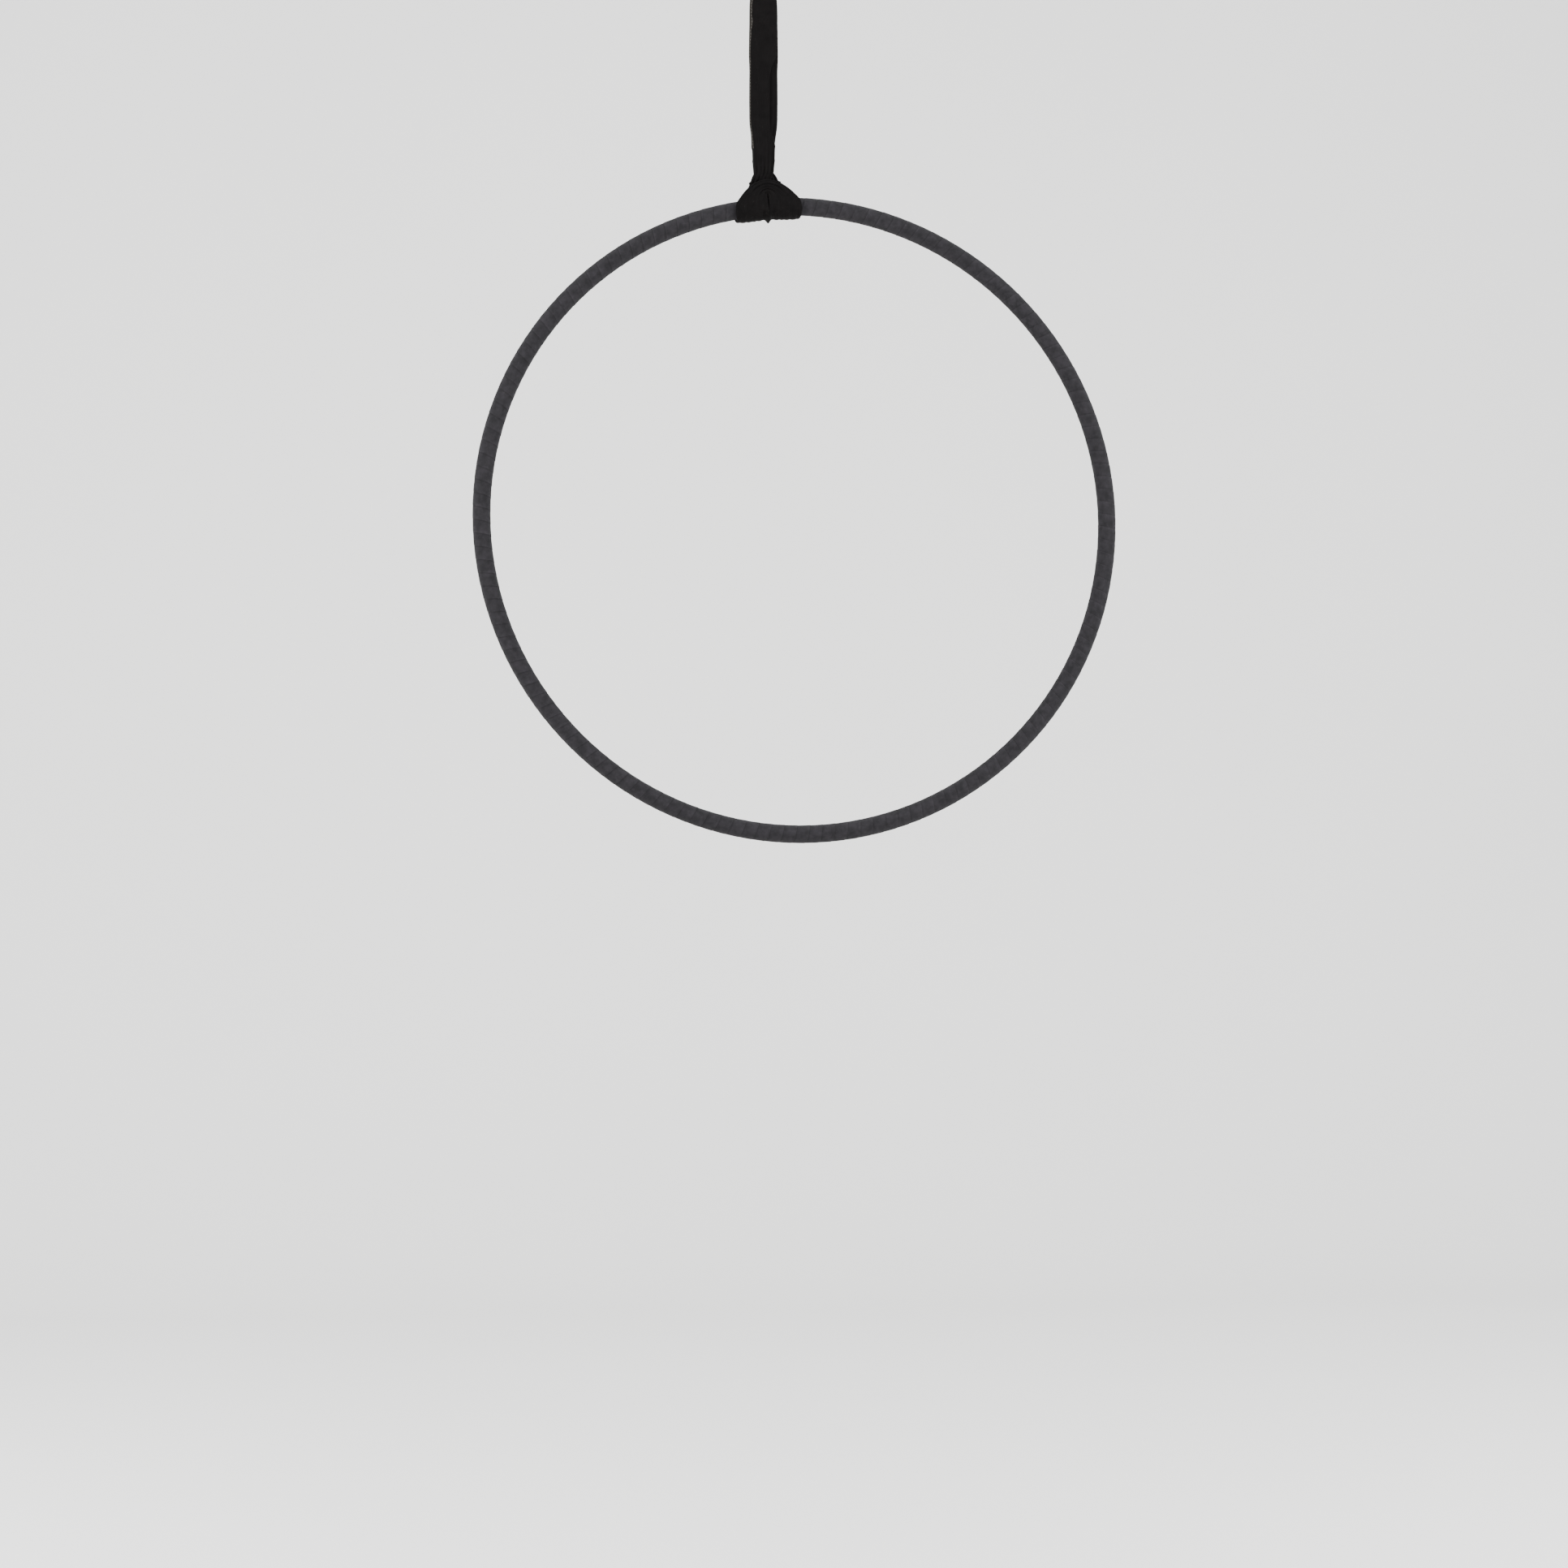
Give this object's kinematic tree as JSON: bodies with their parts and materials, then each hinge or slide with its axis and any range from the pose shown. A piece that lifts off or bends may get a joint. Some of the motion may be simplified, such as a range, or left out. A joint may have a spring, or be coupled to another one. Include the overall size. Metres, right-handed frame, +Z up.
{
  "type": "aerial hoop",
  "caption": "Taped steel aerial hoop, hitched to a black round sling that hangs from a bow shackle and a ball-bearing swivel.",
  "frame": {"origin": "centre of the swivel's upper eye, where the hoop is hung", "axes": "+Z up along the swivel's axis; the hoop's plane is XZ at rest; +Y runs through the upper eye, away from the viewer"},
  "size_m": [0.951, 0.041, 1.4849],
  "materials": {
    "tube_steel": "mill finish",
    "weld_metal": "ground flush",
    "grip_tape": "matte cloth tape",
    "sling_cover": "woven black polyester",
    "galvanised_steel": "dull zinc",
    "plated_steel": "bright zinc",
    "swivel_steel": "satin",
    "bearing_steel": "polished",
    "cage_brass": "satin",
    "bronze": "oiled",
    "seal_rubber": "matte",
    "black_steel": "black oxide"
  },
  "bodies": {
    "swivel_upper": {"swivel_housing": "swivel_steel", "swivel_end_cap": "swivel_steel", "lower_race": "bearing_steel", "spindle_bush": "bronze", "dust_seal": "seal_rubber", "cap_lock_screws": "black_steel"},
    "bearing": {"bearing_balls": "bearing_steel", "ball_cage": "cage_brass"},
    "swivel_lower": {"swivel_spindle": "swivel_steel", "spindle_nut": "plated_steel", "nut_pin": "plated_steel", "upper_race": "bearing_steel"},
    "shackle": {"shackle_bow": "galvanised_steel", "shackle_bolt": "galvanised_steel", "shackle_nut": "galvanised_steel", "shackle_cotter": "plated_steel"},
    "sling": {"sling_loop": "sling_cover"},
    "neck": {"sling_neck": "sling_cover"},
    "hoop": {"hoop_tube": "tube_steel", "joint_spigot": "tube_steel", "joint_weld": "weld_metal", "plug_welds": "weld_metal", "grip_tape_left": "grip_tape", "grip_tape_right": "grip_tape", "sling_hitch": "sling_cover"}
  },
  "joints": [
    {"name": "swivel_spin", "type": "hinge", "parent": "swivel_upper", "child": "swivel_lower", "pos_m": [0, 0, 0], "axis": [0, 0, 1], "continuous": true},
    {"name": "ball_orbit", "type": "hinge", "parent": "swivel_upper", "child": "bearing", "pos_m": [0, 0, 0], "axis": [0, 0, 1], "continuous": true},
    {"name": "shackle_swing", "type": "hinge", "parent": "swivel_lower", "child": "shackle", "pos_m": [0, 0, -0.088], "axis": [1, 0, 0], "range_deg": [-80, 80]},
    {"name": "sling_swing", "type": "hinge", "parent": "shackle", "child": "sling", "pos_m": [0, 0, -0.1505], "axis": [1, 0, 0], "range_deg": [-75, 75]},
    {"name": "hoop_tilt", "type": "hinge", "parent": "sling", "child": "neck", "pos_m": [0, 0, -0.4765], "axis": [0, 1, 0], "range_deg": [-15, 25], "deforming": ["sling_neck"]},
    {"name": "hoop_rock", "type": "hinge", "parent": "neck", "child": "hoop", "pos_m": [0, 0, -0.4765], "axis": [1, 0, 0], "range_deg": [-45, 45], "deforming": ["sling_neck"]}
  ],
  "couplings": [
    {"joint": "ball_orbit", "follows": "swivel_spin", "ratio": 0.5}
  ]
}
